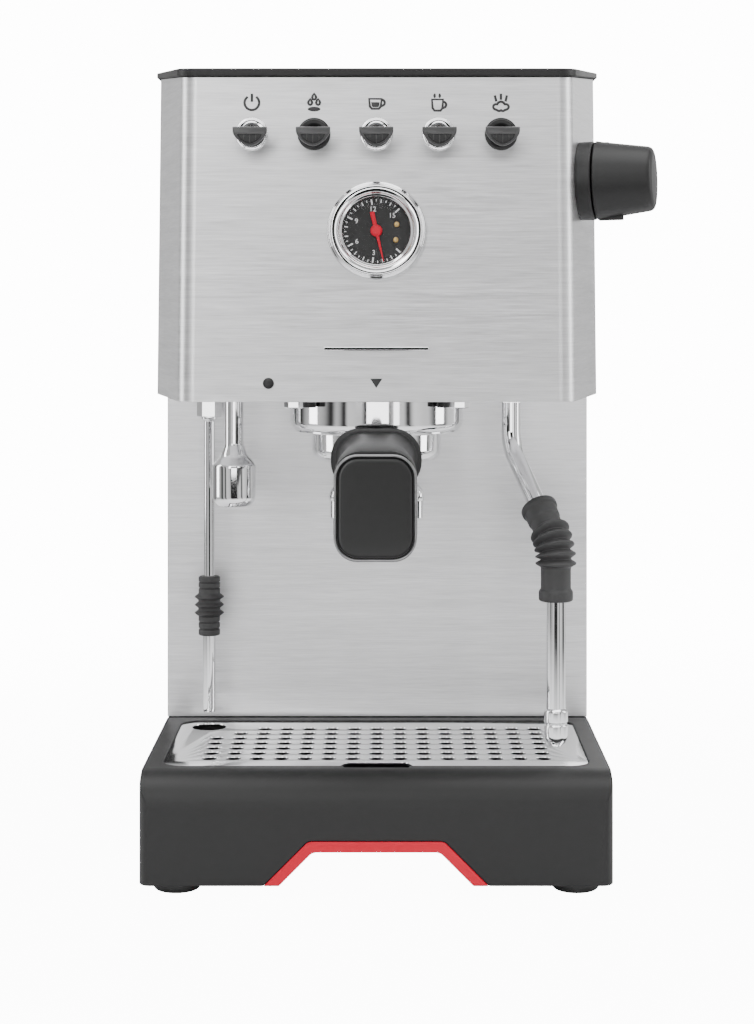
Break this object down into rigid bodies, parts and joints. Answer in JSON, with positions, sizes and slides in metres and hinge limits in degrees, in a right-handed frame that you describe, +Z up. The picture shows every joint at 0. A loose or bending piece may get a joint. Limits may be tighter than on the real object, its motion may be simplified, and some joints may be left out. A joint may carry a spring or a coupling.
{
  "type": "espresso machine",
  "caption": "Counter-top espresso machine: steel head and splash panel, black drip-tray base with a red-lined finger arch, portafilter group, steam wand, gauge and toggle levers.",
  "frame": {"origin": "bottom centre of the overall box, on the counter that the feet stand on", "axes": "+Z up, +X to the right of a person who faces the machine, +Y from the person towards the machine's rear"},
  "size_m": [0.2717, 0.3899, 0.4266],
  "materials": {
    "brushed_steel": "horizontally brushed",
    "polished_chrome": "polished",
    "black_plastic": "fine satin grain",
    "glossy_black": "moulded, semi-gloss",
    "rubber": "moulded",
    "brass": "cast and turned",
    "copper_pipe": "drawn copper",
    "dial_face": "printed, matt",
    "clear_glass": "clear",
    "red_plastic": "satin red",
    "tank_plastic": "smoked clear plastic",
    "circuit_board": "solder mask",
    "pump_body": "zinc-plated"
  },
  "bodies": {
    "machine": {"base_chassis": "black_plastic", "rubber_feet": "rubber", "splash_panel": "brushed_steel", "side_panel_left": "brushed_steel", "side_panel_right": "brushed_steel", "rear_panel": "brushed_steel", "head_front_panel": "brushed_steel", "head_underside_plate": "brushed_steel", "top_frame": "black_plastic", "cup_warmer_plate": "brushed_steel", "toggle_bezels_chrome": "polished_chrome", "toggle_bezels_black": "black_plastic", "toggle_switch_bodies": "black_plastic", "gauge_bezel": "polished_chrome", "gauge_case": "black_plastic", "gauge_dial": "dial_face", "gauge_lens": "clear_glass", "indicator_lamp": "glossy_black", "group_head": "polished_chrome", "group_gasket": "rubber", "shower_screen": "brushed_steel", "group_bolts": "polished_chrome", "brew_boiler": "brass", "boiler_cap": "brass", "steam_boiler": "brushed_steel", "steam_valve_body": "brass", "knob_collar": "black_plastic", "wand_swivel_nut": "polished_chrome", "pump": "pump_body", "pump_mounts": "rubber", "solenoid_valve": "black_plastic", "discharge_tube": "polished_chrome", "discharge_joint": "rubber", "hot_water_nozzle": "polished_chrome", "water_pipes": "copper_pipe", "control_board": "circuit_board", "power_inlet": "black_plastic", "tank_shelf": "black_plastic"},
    "gauge_needle": {"gauge_needle": "red_plastic"},
    "steam_knob": {"steam_knob": "black_plastic", "steam_valve_spindle": "brass"},
    "steam_wand": {"wand_tube": "polished_chrome", "wand_grip": "rubber", "wand_tip": "polished_chrome"},
    "portafilter": {"portafilter_bowl": "polished_chrome", "filter_basket": "brushed_steel", "twin_spout": "polished_chrome", "portafilter_handle": "black_plastic", "handle_end_cap": "glossy_black"},
    "drip_tray": {"drip_tray": "black_plastic", "grip_trim": "red_plastic"},
    "drip_grille": {"drip_grille": "brushed_steel"},
    "water_tank": {"water_tank": "tank_plastic", "tank_lid_pin": "brushed_steel"},
    "tank_lid": {"tank_lid": "black_plastic"},
    "toggle_1": {"toggle_lever_1": "glossy_black"},
    "toggle_2": {"toggle_lever_2": "glossy_black"},
    "toggle_3": {"toggle_lever_3": "glossy_black"},
    "toggle_4": {"toggle_lever_4": "glossy_black"},
    "toggle_5": {"toggle_lever_5": "glossy_black"}
  },
  "joints": [
    {"name": "toggle_1_flip", "type": "hinge", "parent": "machine", "child": "toggle_1", "pos_m": [-0.07855, -0.07023, 0.387], "axis": [-1, 0, 0], "range_deg": [0, 24]},
    {"name": "toggle_2_flip", "type": "hinge", "parent": "machine", "child": "toggle_2", "pos_m": [-0.04635, -0.07023, 0.387], "axis": [-1, 0, 0], "range_deg": [0, 24]},
    {"name": "toggle_3_flip", "type": "hinge", "parent": "machine", "child": "toggle_3", "pos_m": [-0.01415, -0.07023, 0.387], "axis": [-1, 0, 0], "range_deg": [0, 24]},
    {"name": "toggle_4_flip", "type": "hinge", "parent": "machine", "child": "toggle_4", "pos_m": [0.01805, -0.07023, 0.387], "axis": [-1, 0, 0], "range_deg": [0, 24]},
    {"name": "toggle_5_flip", "type": "hinge", "parent": "machine", "child": "toggle_5", "pos_m": [0.05025, -0.07023, 0.387], "axis": [-1, 0, 0], "range_deg": [0, 24]},
    {"name": "needle_turn", "type": "hinge", "parent": "machine", "child": "gauge_needle", "pos_m": [-0.01415, -0.0756, 0.337], "axis": [0, 0.9943, -0.1068], "range_deg": [-35, 239]},
    {"name": "steam_knob_turn", "type": "hinge", "parent": "machine", "child": "steam_knob", "pos_m": [0.09385, -0.0417, 0.364], "axis": [0.9707, -0.2389, 0.0257], "range_deg": [0, 270]},
    {"name": "wand_swing", "type": "hinge", "parent": "machine", "child": "steam_wand", "pos_m": [0.05825, -0.02, 0.2495], "axis": [0, 0, 1], "range_deg": [-42, 75]},
    {"name": "portafilter_lock", "type": "hinge", "parent": "machine", "child": "portafilter", "pos_m": [-0.01415, -0.025, 0.2407], "axis": [0, 0, 1], "range_deg": [-45, 0]},
    {"name": "drip_tray_slide", "type": "slide", "parent": "machine", "child": "drip_tray", "axis": [0, -1, 0], "range_m": [0, 0.12]},
    {"name": "grille_lift", "type": "slide", "parent": "drip_tray", "child": "drip_grille", "axis": [0, 0, 1], "range_m": [0, 0.006]},
    {"name": "tank_lift", "type": "slide", "parent": "machine", "child": "water_tank", "axis": [0, 0, 1], "range_m": [0, 0.29]},
    {"name": "tank_lid_flip", "type": "hinge", "parent": "water_tank", "child": "tank_lid", "pos_m": [-0.01415, 0.1836, 0.424], "axis": [-1, 0, 0], "range_deg": [0, 85]}
  ]
}
